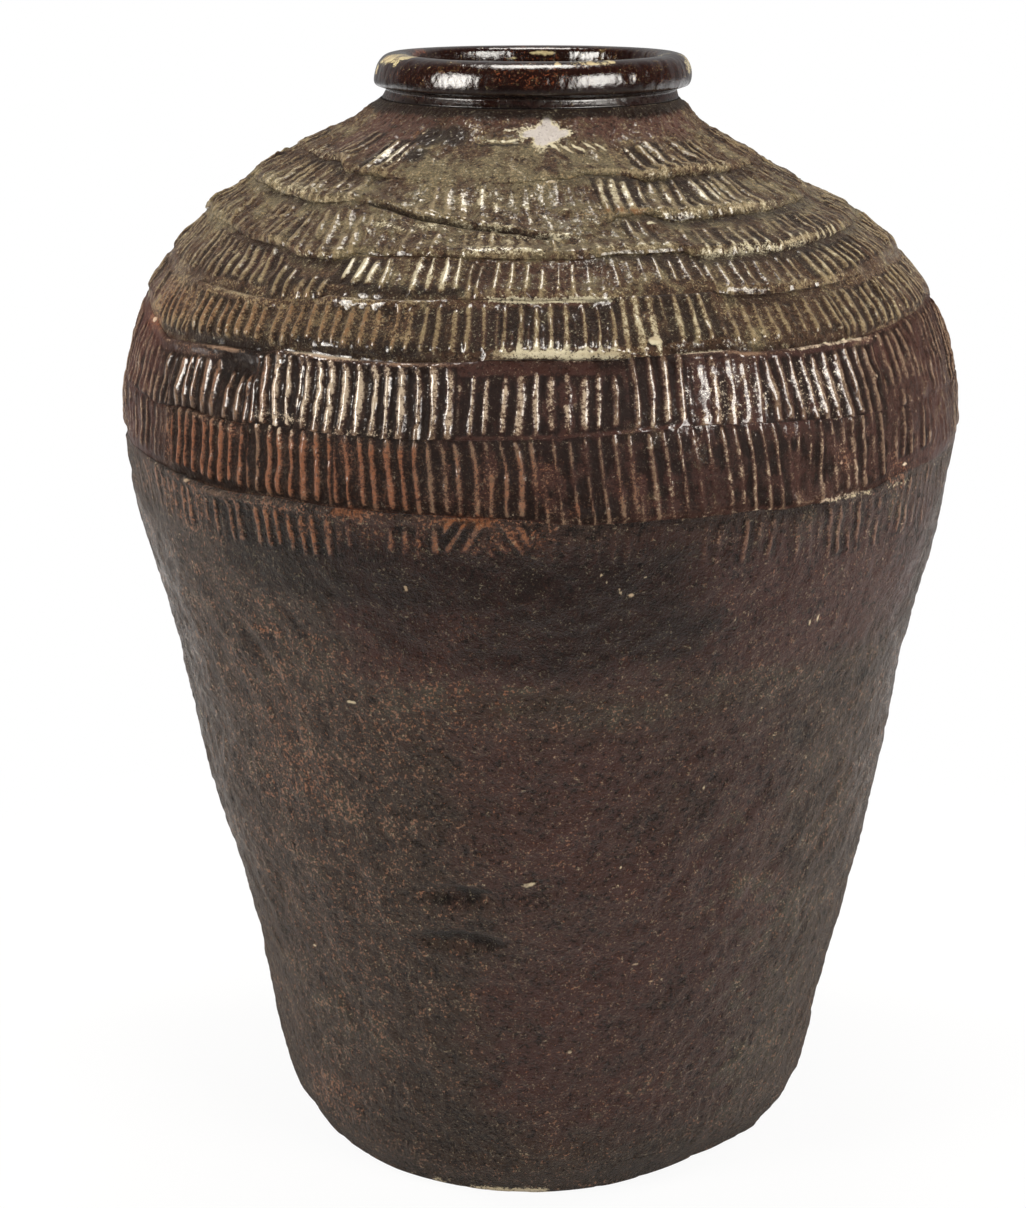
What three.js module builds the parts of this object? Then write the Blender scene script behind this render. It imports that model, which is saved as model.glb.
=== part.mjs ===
// A tall stoneware jar for rice wine, built by hand from courses of clay.
// A round slab is the floor. Rings of clay are luted on it one above another: a heel, five of plain wall,
// two at the belly, four on the shoulder, then a crown that closes in to the neck, the neck itself and a
// thick rolled rim. From the belly up each ring laps out over the one below in a rounded lip.
// Millimetres. The jar stands on z = 0 with its axis on +Z, and its best side faces -Y.
import * as THREE from "three";

// Floor and wall
const slabThickness = 16;
const slabRadius = 119.6; // at the top of the slab, where the wall starts
const footInset = 7.6; // from there to the flat face that the jar stands on
const footEdgeRise = 8; // height of the rounded edge round that face
const wallThickness = 11;
const slipGap = 0.3; // layer of slip in each joint

// Height of each ring along the axis
const heelHeight = 31;
const wallHeight = 57;
const bellyHeight = 31;
const shoulderFootHeight = 22; // the lowest of the shoulder's rings
const shoulderHeight = 14; // the other three
const crownHeight = 25;
const neckHeight = 5;
const rimHeight = 15;

// Outside radius at the top of each ring
const heelRadius = 130.6;
const wallRadius1 = 142.6;
const wallRadius2 = 156.6;
const wallRadius3 = 167.6;
const wallRadius4 = 180.8;
const wallRadius5 = 191;
const bellyRadius1 = 190;
const bellyRadius2 = 180.8;
const neckRadius = 66.6;
const neckLedge = 1; // how far the crown's top stands out past the neck

// How far each ring of the shoulder draws in from the one below
const shoulderDraw1 = 14.4;
const shoulderDraw2 = 15.8;
const shoulderDraw3 = 24.2;
const shoulderDraw4 = 19.6;
const waistDraw = 22.8; // of the crown, to where it sweeps up towards the neck
const waistRise = 12; // and how far that is above the crown's foot

// Lip at the foot of each lapped ring, and the set-back at the top of the ring below it
const lipProud = 1.7;
const lipHeight = 4.6;
const setBack = 1.3;
const lipSection = [[0.4, 0], [1, 0.35], [0.2, 1]]; // how far out and up, as shares of those two

// Neck and rim
const neckWall = 10.6;
const neckPinch = 1.2; // depth of the two grooves round the neck, which leave a bead between them
const neckSection = [[0, 0], [1, 0.35], [0, 0.65], [0.5, 1]]; // how deep and how far up, as shares
const rimOverhang = 4.2; // how far the roll stands out past the neck
const rimInset = 0.8; // and how far into the mouth
const rimLandDrop = 0.35; // what the level land takes off the top of the roll
const rimBedDrop = 1.9; // and what its bed on the neck takes off the bottom

// How far the jar strays to the side of its axis, which is most at three places
const wallOffset = 4.2; // at the top of the first ring of wall
const shoulderOffset = -8.2; // at the crown's foot
const neckOffset = -4.2; // from the neck up

// Fineness of the faceted solids
const turnSteps = 48;
const wallSteps = 3; // along a ring's height, outside
const crownSteps = 6; // along the crown, whose slope is long
const rollSteps = 7; // on each side of the rim's roll
const edgeSteps = 4; // round the slab's edge

const darkGlaze = { color: 0x2e1a14, roughness: 0.28, metalness: 0 };
const ashGlaze = { color: 0x4a4030, roughness: 0.5, metalness: 0 };
const dullSlip = { color: 0x3d312c, roughness: 0.75, metalness: 0 };

// The rings between the slab and the neck, lowest first, from their heights and top radii.
function courses(name, finish, lapped, sizes) {
  return sizes.map(([height, radius], index) => {
    const number = sizes.length > 1 ? `_${index + 1}` : "";
    return { name: name + number, finish, lapped, height, radius };
  });
}
const wallRadii = [wallRadius1, wallRadius2, wallRadius3, wallRadius4, wallRadius5];
const shoulderRadius1 = bellyRadius2 - shoulderDraw1;
const shoulderRadius2 = shoulderRadius1 - shoulderDraw2;
const shoulderRadius3 = shoulderRadius2 - shoulderDraw3;
const shoulderRadius4 = shoulderRadius3 - shoulderDraw4;
const waistRadius = shoulderRadius4 - waistDraw;
const rings = [
  ...courses("heel_ring", dullSlip, false, [[heelHeight, heelRadius]]),
  ...courses("wall_ring", dullSlip, false, wallRadii.map((radius) => [wallHeight, radius])),
  ...courses("belly_ring", darkGlaze, true, [[bellyHeight, bellyRadius1], [bellyHeight, bellyRadius2]]),
  ...courses("shoulder_ring", ashGlaze, true, [
    [shoulderFootHeight, shoulderRadius1],
    [shoulderHeight, shoulderRadius2],
    [shoulderHeight, shoulderRadius3],
    [shoulderHeight, shoulderRadius4],
  ]),
  ...courses("shoulder_crown", ashGlaze, true, [[crownHeight, neckRadius + neckLedge]]),
];
const crown = rings.length - 1;

// The joints, lowest first: the slab's top, then the top of each ring.
const joints = [{ z: slabThickness, radius: slabRadius }];
for (const { height, radius } of rings) {
  joints.push({ z: joints[joints.length - 1].z + height, radius });
}
const neckFoot = joints[joints.length - 1].z;
const neckTop = neckFoot + neckHeight;
const rimTop = neckTop + rimHeight;
const boreRadius = neckRadius - neckWall;

// The outside of the wall, from the slab to the neck, as one smooth line through the joints and the waist.
const wallPoints = joints.map((joint) => new THREE.Vector2(joint.radius, joint.z));
wallPoints.splice(crown + 1, 0, new THREE.Vector2(waistRadius, joints[crown].z + waistRise));
const wallLine = new THREE.SplineCurve(wallPoints);

// How far along that line a place is which is counted in joints from the slab.
const alongLine = (joint) => (joint + Math.max(0, joint - crown)) / (wallPoints.length - 1);

// A point of that line, moved out of the wall by `out` and up along it by `up`.
function onWall(joint, out = 0, up = 0) {
  const t = alongLine(joint);
  const along = wallLine.getTangent(t);
  const outward = new THREE.Vector2(along.y, -along.x);
  return wallLine.getPoint(t).addScaledVector(outward, out).addScaledVector(along, up);
}

// The same point on the inner face, on a level bed or on one that is square to the wall.
function insideWall(joint, level = false, up = 0) {
  if (!level) return onWall(joint, -wallThickness, up);
  const along = wallLine.getTangent(alongLine(joint));
  const p = onWall(joint);
  return new THREE.Vector2(p.x - wallThickness / along.y, p.y + up);
}

// How far to the side the jar's centre lies at a height, in straight stretches between these places.
const topOf = (name) => joints[rings.findIndex((ring) => ring.name === name) + 1].z;
const offsets = [
  [0, 0],
  [topOf("wall_ring_1"), wallOffset],
  [topOf("wall_ring_5"), 0],
  [topOf("shoulder_ring_1"), 0],
  [topOf("shoulder_ring_4"), shoulderOffset],
  [neckFoot, neckOffset],
  [rimTop, neckOffset],
];
function offsetAt(z) {
  const next = offsets.findIndex(([height]) => height > z);
  const above = next < 1 ? offsets.length - 1 : next;
  const [[lowZ, lowOffset], [highZ, highOffset]] = offsets.slice(above - 1, above + 1);
  return THREE.MathUtils.mapLinear(z, lowZ, highZ, lowOffset, highOffset);
}

// A closed outline turned round the jar's axis, then moved off it as the jar is.
function turned(outline) {
  const geometry = new THREE.LatheGeometry(outline, turnSteps).rotateX(Math.PI / 2);
  const position = geometry.getAttribute("position");
  for (let i = 0; i < position.count; i++) {
    position.setX(i, position.getX(i) + offsetAt(position.getZ(i)));
  }
  geometry.computeVertexNormals();
  return geometry;
}

function piece(name, outline, finish) {
  const mesh = new THREE.Mesh(turned(outline), new THREE.MeshStandardMaterial(finish));
  mesh.name = name;
  return mesh;
}

// The slab's outline: flat underneath, a rounded edge, and a level top that the first ring stands on.
function slabOutline() {
  const edge = new THREE.QuadraticBezierCurve(
    new THREE.Vector2(slabRadius - footInset, 0),
    new THREE.Vector2(slabRadius, 0),
    new THREE.Vector2(slabRadius, footEdgeRise),
  );
  return [
    new THREE.Vector2(0, 0),
    ...edge.getPoints(edgeSteps),
    new THREE.Vector2(slabRadius, slabThickness),
    new THREE.Vector2(0, slabThickness),
  ];
}

// The outside of a ring, from its foot to its top. A lapped ring starts in a lip; one with a lapped ring
// above it ends set back, so that the lip above stands proud of it.
function outerFace(index, steps) {
  const roofed = rings[index + 1]?.lapped;
  const foot = rings[index].lapped ? lipSection : [[0, 0]];
  const points = foot.map(([out, up]) => onWall(index, out * lipProud, slipGap + up * lipHeight));
  for (let step = 1; step <= steps; step++) {
    const share = step / steps;
    points.push(onWall(index + share, roofed ? -setBack * share : 0));
  }
  return points;
}

// A ring's outline: up the outside, across the top bed, and down the inside.
function ringOutline(index) {
  const first = index === 0;
  const last = index === crown;
  const steps = last ? crownSteps : wallSteps;
  const outer = outerFace(index, steps);
  if (first) outer[0] = new THREE.Vector2(slabRadius, slabThickness + slipGap);
  const inner = [];
  for (let step = steps; step >= 0; step -= last ? 1 : steps) {
    const level = (first && step === 0) || (last && step === steps);
    const p = insideWall(index + step / steps, level, step === 0 ? slipGap : 0);
    p.x = Math.max(p.x, boreRadius); // the neck's bore cuts up through the crown
    inner.push(p);
  }
  return [...outer, ...inner];
}

function neckOutline() {
  const foot = neckFoot + slipGap;
  const outer = neckSection.map(([deep, up]) => new THREE.Vector2(
    neckRadius - deep * neckPinch,
    foot + up * (neckTop - foot),
  ));
  return [new THREE.Vector2(boreRadius, foot), ...outer, new THREE.Vector2(boreRadius, neckTop)];
}

// The rim is an ellipse in section, cut level at the top, where a cover lies, and at the bottom.
function rimOutline() {
  const bed = neckTop + slipGap;
  const halfHeight = (rimTop - bed + rimLandDrop + rimBedDrop) / 2;
  const halfWidth = (neckWall + rimOverhang + rimInset) / 2;
  const centre = new THREE.Vector2(neckRadius + rimOverhang - halfWidth, bed - rimBedDrop + halfHeight);
  const bedAngle = Math.asin((halfHeight - rimBedDrop) / halfHeight);
  const landAngle = Math.asin((halfHeight - rimLandDrop) / halfHeight);
  const points = [];
  for (const [from, to] of [[-bedAngle, landAngle], [Math.PI - landAngle, Math.PI + bedAngle]]) {
    for (let step = 0; step <= rollSteps; step++) {
      const angle = from + ((to - from) * step) / rollSteps;
      points.push(new THREE.Vector2(
        centre.x + halfWidth * Math.cos(angle),
        centre.y + halfHeight * Math.sin(angle),
      ));
    }
  }
  return points;
}

const closed = (outline) => [...outline, outline[0].clone()];

const jar = new THREE.Group();
jar.name = "rice_wine_jar";
jar.add(piece("base_slab", slabOutline(), dullSlip));
rings.forEach(({ name, finish }, index) => {
  jar.add(piece(name, closed(ringOutline(index)), finish));
});
jar.add(piece("neck_ring", closed(neckOutline()), darkGlaze));
jar.add(piece("rim_roll", closed(rimOutline()), darkGlaze));

export default jar;
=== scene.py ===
import math
import bpy
import numpy as np
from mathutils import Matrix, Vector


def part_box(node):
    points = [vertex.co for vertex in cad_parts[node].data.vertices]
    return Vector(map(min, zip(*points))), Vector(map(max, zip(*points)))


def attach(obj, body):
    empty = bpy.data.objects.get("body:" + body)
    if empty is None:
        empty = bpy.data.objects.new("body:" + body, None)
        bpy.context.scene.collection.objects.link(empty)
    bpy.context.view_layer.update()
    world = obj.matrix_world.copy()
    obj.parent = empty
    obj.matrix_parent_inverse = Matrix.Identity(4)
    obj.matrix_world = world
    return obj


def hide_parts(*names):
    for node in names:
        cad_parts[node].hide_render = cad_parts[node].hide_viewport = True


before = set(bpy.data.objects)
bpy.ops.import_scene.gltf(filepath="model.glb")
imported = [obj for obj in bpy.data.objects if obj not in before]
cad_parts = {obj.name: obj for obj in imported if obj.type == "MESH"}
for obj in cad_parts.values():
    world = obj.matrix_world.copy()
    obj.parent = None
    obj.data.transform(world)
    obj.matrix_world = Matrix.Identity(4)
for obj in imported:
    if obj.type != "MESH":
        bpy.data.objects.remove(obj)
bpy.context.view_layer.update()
print("frame loaded,", len(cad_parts), "rings and slabs of clay")

# Lengths here are millimetres and angles degrees; angle 0 faces the camera and grows to its right.
# Meshes are written in metres.


def smooth(x, low, high):
    # 0 below low and 1 above high, with 3t^2 - 2t^3 between
    t = np.clip((x - low) / (high - low), 0, 1)
    return t * t * (3 - 2 * t)


def within(x, low, high, climb, fall):
    # 1 between low and high and 0 outside, with a smooth climb above low and a smooth fall below high
    return smooth(x, low, low + climb) * (1 - smooth(x, high - fall, high))


def curve(points, x):
    # cubic through the points, each slope taken from its two neighbours
    px, py = np.array(points, float).T
    slope = np.gradient(py, px)
    i = np.clip(np.searchsorted(px, x) - 1, 0, len(px) - 2)
    step = px[i + 1] - px[i]
    t = (x - px[i]) / step
    ease = t * t * (3 - 2 * t)
    lift = t * (1 - t) * step * ((1 - t) * slope[i] - t * slope[i + 1])
    return py[i] * (1 - ease) + py[i + 1] * ease + lift


def cloud(angle, height, around, tall, seed):
    # random values on a lattice, `around` of them round the jar and one each `tall` mm, joined by smooth steps; it
    # starts below the floor and ends above the rim
    lowest, highest = -12, 528
    grid = np.random.default_rng(seed).uniform(-1, 1, (int((highest - lowest) / tall) + 4, around))
    u = angle / 360 * around
    v = (height - lowest) / tall
    iu, iv = np.floor(u).astype(int), np.floor(v).astype(int)
    fu, fv = smooth(u - iu, 0, 1), smooth(v - iv, 0, 1)
    iv = np.clip(iv, 0, len(grid) - 2)
    low = grid[iv, iu % around] * (1 - fu) + grid[iv, (iu + 1) % around] * fu
    high = grid[iv + 1, iu % around] * (1 - fu) + grid[iv + 1, (iu + 1) % around] * fu
    return low * (1 - fv) + high * fv


jar = {
    "radius": [(0, 112), (3, 113), (8, 116.5), (13, 120.5), (22, 124.5), (32, 127.2), (42, 129.3), (70, 134.6),
               (99, 141), (128, 148), (157, 155.4), (186, 161.2), (215, 166.3), (243, 171.8), (272, 179.2),
               (301, 186), (330, 190.2), (344, 191), (359, 189.9), (373, 187), (388, 182.2), (402, 175.6),
               (416, 165), (431, 148.6), (445, 126.6), (460, 102.8), (464.5, 94), (470, 84), (476, 75.4),
               (480, 70.6), (483.5, 67), (487, 66), (503, 66)],
    "lean": [(0, 0), (16, 2), (40, 3), (80, 4.4), (105, 4.7), (150, 2.8), (220, 1.4), (330, .2), (400, -.6),
             (416, -1.2), (431, -2.8), (440, -6.4), (446, -8.4), (460, -9.1), (466, -8.3), (476, -5.9),
             (485, -4.4), (494, -3.5), (503, -2.9)],
    "foot": [(-90, 0), (-66, -1), (-48, .8), (-34, 4), (-12, 6.2), (0, 6), (17, 3), (28, -.5), (41, -3),
             (53, -1.5), (64, 2.5), (90, 2), (120, 3), (150, -2), (180, 2), (210, 4), (240, -2)],
    "footFade": 30,
    "gap": .03,  # left each side of a joint
    "wall": 11,
    "bed": (-3.5, -7.5),  # two rows of points across each joint
    "bore": 56,
    "swell": .45,  # how far a shoulder ring bellies out below its middle and draws in above it
    # how many round the jar, height of one, depth
    "lumps": [(8, 84, .7), (17, 40, .8), (38, 17, .7), (92, 7.5, .45), (200, 5, .3)],
    "nicks": [(220, 1.7, .9), (340, 1.1, .8)],  # on the upper shoulder
    "glazeGrain": (420, 2.6, .13),
    "stoneGrain": (340, 3, .36),  # where there is no glaze
    "insideLumps": (30, 20, .35),
    # heights over which something comes in
    "glazeFrom": (295, 315),
    "nicksFrom": (428, 440),
    # lowest and highest place, and over what height it comes and goes
    "uneven": (1, 482.5, 6, 4.5),
    "setIn": (.45, (300, 482, 22, 8)),  # depth first: the wall draws in under the ribs
    # angles, heights, degrees of lean per mm, depth
    "furrows": [(12, 85, 30, 300, .3, .8), (-90, -30, 60, 300, -.22, .75), (95, 265, 30, 310, .24, .5),
                (-60, 60, 8, 60, .05, .3)],
}


def radiusAt(z):
    return curve(jar["radius"], z)


def stretchAt(z):
    # length along the wall for each mm of height: the root of 1 + slope^2
    return np.sqrt(1 + (radiusAt(z + .5) - radiusAt(z - .5)) ** 2)


def place(angle, z, out, level=False, bore=0):
    # the wall line's point at height z, moved `out` along the wall's own normal (or straight out where the bed
    # is level), turned to the angle, and carried sideways with the jar's lean
    steep = (radiusAt(z + .5) - radiusAt(z - .5)) * (1 - level)
    length = np.sqrt(1 + steep * steep)
    footing = np.interp(angle, *np.array(jar["foot"]).T, period=360)
    radius = radiusAt(z) + footing * (1 - smooth(z, 0, jar["footFade"])) + out / length
    radius = np.maximum(radius, bore)
    up = z - out * steep / length
    turn = np.radians(angle)
    side = curve(jar["lean"], up)
    return np.stack([radius * np.sin(turn) + side, -radius * np.cos(turn), up], -1) / 1000


marks = {
    # dents: angle, height, half width along the wall, half height, depth and, for some, turn; nodules: angle, height,
    # half width, rise
    "dents": [
        (-14, 157, 15, 4.4, -3.2), (-14.5, 133.5, 17, 4.4, -3.3, 4), (-13, 111, 15, 4, -.7),
        (-33, 152, 12, 12, -1.2), (-33, 132, 10, 4, -.6, 20), (-39, 91, 12, 8, -.9),
        (19.5, 155, 3, 8, -.8, -10), (40, 152, 14, 18, -.9, 10), (-52, 141, 9, 5, -1.3, 25),
        (-52, 132, 7, 4, -1.4), (-56, 128, 6, 4, -1), (27, 172, 16, 7, -.6, -25), (48, 173, 5, 2.4, -.8),
        (35.5, 340, 8, 6, -.9, 20), (-43, 382.5, 10, 7, -1.4), (140, 210, 22, 26, -1.4),
        (-150, 150, 26, 18, -1.2, 15), (178, 120, 15, 6, -1.2), (118, 92, 18, 10, -1, -20),
        (-118, 262, 16, 12, -.8), (-160, 300, 24, 10, -.7, 8)],
    "nodules": [
        (8.9, 445.8, 2.6, 1.6), (23.4, 441.4, 2.6, 1.5), (4.5, 437.6, 1.6, 1), (6.2, 437.4, 1.8, 1.1),
        (-35.7, 449.5, 2.6, 1.3), (-2.3, 165, 2.4, .9), (5.2, 134, 2, .8), (15.1, 400, 4.5, .8),
        (40.5, 393.5, 2.4, 1.2), (44, 393.7, 2.2, 1.1), (48.5, 378, 1.5, .9), (18, 114, 1.6, .7),
        (-51.5, 332.5, 2.4, 1), (14.5, 124, 1.8, .6), (128, 398, 2.6, 1.2), (-140, 436, 2.2, 1.2),
        (170, 345, 2.6, 1), (-98, 180, 2.4, .9), (152, 452, 2.2, 1.3)],
    "crack": {"joint": "shoulderRing4", "from": -31.5, "to": 8, "ends": (2.5, 2), "stretch": 1.8,
              "width": .8, "depth": 1.6, "lip": (.45, 2.4, 1.6)},  # lip: height, how far up, half width
}


def spotAt(angle, z, wall, at, height, wide, tall, turn=0):
    # squared distance over the wall from a spot's middle, in half sizes of the spot; wall is its radius and stretch
    across = np.radians((angle - at + 180) % 360 - 180) * wall[0]
    along = (z - height) * wall[1]
    c, s = math.cos(math.radians(turn)), math.sin(math.radians(turn))
    return ((across * c + along * s) / wide) ** 2 + ((along * c - across * s) / tall) ** 2


def markDepth(angle, z):
    # a dent is depth exp(-.8 d^4), with d the distance in half sizes; a nodule is height exp(-d^4)
    depth = np.zeros(np.broadcast(angle, z).shape)
    wall = radiusAt(z), stretchAt(z)
    for at, height, wide, tall, deep, *turn in marks["dents"]:
        depth += deep * np.exp(-spotAt(angle, z, wall, at, height, wide, tall, *turn) ** 2 * .8)
    for at, height, size, rise in marks["nodules"]:
        depth += rise * np.exp(-spotAt(angle, z, wall, at, height, size, size) ** 2)
    return depth


def crackAt(angle, z):
    # distance up the wall from the joint that has opened, and 1 inside the crack's length
    crack = marks["crack"]
    line = seamAt(crack["joint"], angle)[0]
    return (z - line) * crack["stretch"], within(angle, crack["from"], crack["to"], *crack["ends"])


def bodyRelief(angle, z):
    # the marks, lumps of five sizes, furrows, nicks on the shoulder and the crack, all added up; none at the foot and
    # the neck
    depth = markDepth(angle, z)
    for seed, (around, tall, deep) in enumerate(jar["lumps"]):
        depth = depth + deep * cloud(angle, z, around, tall, seed + 3)
    for seed, (left, right, low, high, lean, deep) in enumerate(jar["furrows"]):
        share = within(angle % 360 if left > 90 else angle, left, right, 12, 12) * within(z, low, high, 30, 40)
        share = share * smooth(cloud(angle, z, 14, 45, 18 + seed), -.5, .4)
        if share.any():
            depth = depth + deep * share * cloud(angle - lean * z, z, 130, 34, 25 + seed)
    if z.max() > jar["nicksFrom"][0]:
        patchy = smooth(z, *jar["nicksFrom"]) * (.6 + .5 * smooth(cloud(angle, z, 24, 12, 64), -.4, .5))
        for seed, (around, tall, rise) in enumerate(jar["nicks"]):
            raised = np.maximum(cloud(angle, z, around, tall, 62 + 2 * seed) - .3, 0)
            sunk = np.maximum(cloud(angle, z, around, tall, 63 + 2 * seed) - .4, 0)
            depth = depth + rise * (raised - sunk) * patchy
    gap, inside = crackAt(angle, z)
    crack = marks["crack"]
    height, up, half = crack["lip"]
    depth = depth - crack["depth"] * inside * np.exp(-(gap / crack["width"]) ** 2)
    depth = depth + height * inside * np.exp(-((gap - up) / half) ** 2)
    return depth * within(z, *jar["uneven"])


# The seams between rings: angle, height, and how far the ring above laps out over the one below. Where that is
# negative, the lower ring's edge is the one that stands proud.
seams = {
    "bellyRing1": [
        (-75, 335, -.4), (-57, 335, -1.3), (-48, 331.5, -1.7), (-40, 332, -1.8), (-37, 332.5, -.8),
        (-27, 333, -.8), (-14, 332.5, -.6), (-4, 332, -.4), (4, 330.2, .7), (15, 331, .8), (28, 331.6, .5),
        (33, 330.5, 1.1), (38, 330, .9), (41, 331, -.6), (47, 330.8, -.8), (54, 334.8, -.2), (75, 335, .1)],
    "bellyRing2": [
        (-75, 363, 0), (-60, 361, -.3), (-53, 363, -.9), (-46, 362, -1.1), (-41, 361.8, -.8), (-37, 363, -.1),
        (-17, 363, .1), (0, 364.7, .1), (20, 368, .2), (34, 366, -.1), (42, 364, .1), (75, 362, 0)],
    "shoulderRing1": [
        (-78, 398, -.2), (-68, 393, -.5), (-61, 388.5, -1.1), (-46, 391.2, -1.7), (-39, 391.5, -1.5),
        (-36, 393, -1.2), (-32, 393.2, -1.8), (-18, 392.5, -1.7), (-8, 393.8, -.8), (-5.5, 394.6, 1.6),
        (10.6, 394.6, 2), (12, 395, .3), (16, 395, .2), (17.5, 395.6, -1.5), (25.5, 395.8, -1.6),
        (27, 394.5, -1.3), (36, 394, -1.2), (49, 393.8, -.9), (53, 395, -.1), (60, 396.4, 0), (78, 400, .2)],
    "shoulderRing2": [
        (-78, 414.5, .2), (-68, 414, -.3), (-57, 412.6, -.9), (-46, 411.8, -1.3), (-41, 411.5, -.6),
        (-38, 412, .3), (-33, 413.5, .4), (-31, 415, -1.1), (-21, 415, -1.5), (-16, 415.6, -.8),
        (-5, 416.5, 1.1), (10, 416.8, 1.2), (13, 417.5, -.4), (25, 417.6, -.6), (28, 416, .9), (36, 414.4, .8),
        (50, 415, .3), (56, 416, 0), (71, 419, 0)],
    "shoulderRing3": [
        (-84, 434, .4), (-63, 433.4, .5), (-53, 430.8, 1), (-44, 430, .9), (-40, 427.4, 1.3),
        (-33, 427.4, 1.2), (-30, 431, .6), (-20, 430.8, .8), (-9, 430.6, .6), (0, 430.3, 1.1), (9, 431, 1),
        (14, 432.4, 1.1), (25, 432.4, 1.2), (26.5, 430, 1.7), (45, 429, 1.7), (54, 430.3, 1.6), (62, 431, 1.3),
        (78, 433, .9)],
    "shoulderRing4": [
        (-84, 449, .4), (-66, 448.8, 1.1), (-54, 448, 1.2), (-45, 446.6, .9), (-37, 447.6, .5), (-31, 448, .3),
        (-26, 446.6, .5), (-19, 444.4, .6), (-13, 442.6, .6), (-8, 441.2, .5), (-3, 439.9, .4), (1, 438.6, .3),
        (5, 437.4, .2), (10, 439, .1), (14, 441.6, .2), (18, 444, .6), (24, 445.3, 1.1), (27, 443, 1.6),
        (40, 442.3, 1.9), (56, 442.2, 1.7), (84, 444, .7)],
    "crown": [
        (-84, 462, .5), (-62, 461.7, 1.4), (-51, 461.5, 1.6), (-45, 458.5, 1), (-33, 457.5, .9),
        (-20, 456.5, .1), (-9, 456.1, 0), (4, 457, .3), (11, 457.8, .7), (16, 459.3, 1.1), (26, 458.5, 1.2),
        (30, 457, 1.9), (45, 456.8, 1.9), (62, 457, 1.4), (84, 458, .5)],
}
# the level joints' heights
plainSeams = {"heelRing": 16, "wallRing1": 47, "wallRing2": 104, "wallRing3": 161, "wallRing4": 218,
              "wallRing5": 275, "neck": 483}
laps = {
    # how far up the ring, in heights of the lap, and how proud, in depths of the lap
    "height": 6.4,
    "lip": [(0, -.45), (.08, -.1), (.18, .34), (.3, .7), (.42, .95), (.55, 1), (.7, .9), (.85, .7), (1, .46),
            (1.2, .22), (1.45, .08)],
    # where the lower ring stands proud: mm down from its top, and the same
    "shelf": [(0, -.1), (.3, .25), (.7, .6), (1.2, .88), (1.8, 1), (2.6, .86), (3.4, .6), (4.4, .3), (5.5, .1)],
    # rows of points that lie close together there, in mm from the edge
    "lipRows": [0, .3, .7, 1.2, 1.8, 2.6, 3.6],
    "shelfRows": [2.8, 1.9, 1.2, .7, .3, 0],
}


# stations behind: degrees apart, how far they stray, how far up and down, how many lap the other way, depth of lap
backSeam = {"every": 11, "stray": 3, "rise": 1.8, "under": -.6, "lap": (.3, .9)}
raggedness = {"bellyRing1": 3, "rest": 1.2}


def seamAt(name, angle):
    # height of a ring's foot and its lap, straight between the stations, plus a fine wobble; behind the jar the
    # stations are drawn at random round the front's mean
    if name in plainSeams:
        return plainSeams[name] + 0 * angle, 0 * angle
    front = np.array(seams[name])
    draw = np.random.default_rng(40 + list(seams).index(name))
    at = np.arange(90, 271, backSeam["every"])
    count = len(at)
    at = at + draw.uniform(-1, 1, count) * backSeam["stray"]
    height = front[:, 1].mean() + draw.uniform(-1, 1, count) * backSeam["rise"]
    lap = np.abs(front[:, 2]).mean() * np.sign(draw.uniform(backSeam["under"], 1, count))
    lap = lap * draw.uniform(*backSeam["lap"], count)
    at, height, lap = np.append(front.T, [at, height, lap], 1)
    flat = 0 * angle
    ragged = raggedness.get(name, raggedness["rest"])
    wobble = ragged * (.25 * cloud(angle, flat, 64, 9, 70) + .15 * cloud(angle, flat, 170, 9, 71))
    rough = 1 + .3 * cloud(angle, flat, 90, 9, 72)
    calm = 1 - .55 * np.exp(-((np.abs(angle) - 78) / 20) ** 2)  # flatter where the outline shows it
    return np.interp(angle, at, height, period=360) + wobble, np.interp(angle, at, lap, period=360) * rough * calm


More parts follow.
